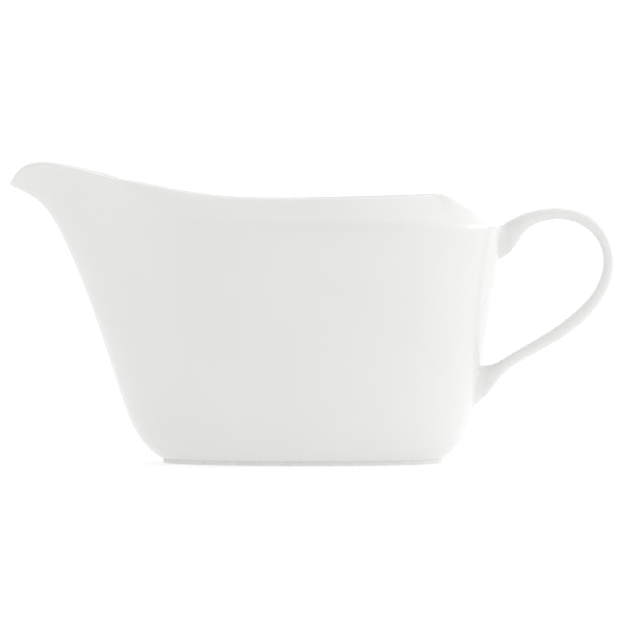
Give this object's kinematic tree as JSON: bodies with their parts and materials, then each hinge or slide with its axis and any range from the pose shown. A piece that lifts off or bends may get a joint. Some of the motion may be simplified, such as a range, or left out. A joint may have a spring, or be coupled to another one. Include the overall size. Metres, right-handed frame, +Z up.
{
  "type": "gravy boat",
  "caption": "Boat-shaped ceramic sauce jug with a drawn-out pouring spout, an inward-leaning collar above a shoulder crease and a looped strap handle at the other end.",
  "frame": {"origin": "on the surface that the boat stands on, under the middle of its overall length and width", "axes": "+Z up, +X from the spout towards the handle, +Y across; the boat is symmetric about Y = 0"},
  "size_m": [0.2204, 0.0818, 0.1097],
  "materials": {
    "glazed_porcelain": "glossy clear glaze over white porcelain",
    "bare_porcelain": "unglazed, ground smooth"
  },
  "bodies": {
    "root": {"boat_body": "glazed_porcelain", "foot_ring": "bare_porcelain", "handle": "glazed_porcelain", "upper_handle_joint": "glazed_porcelain", "lower_handle_joint": "glazed_porcelain"}
  },
  "joints": []
}
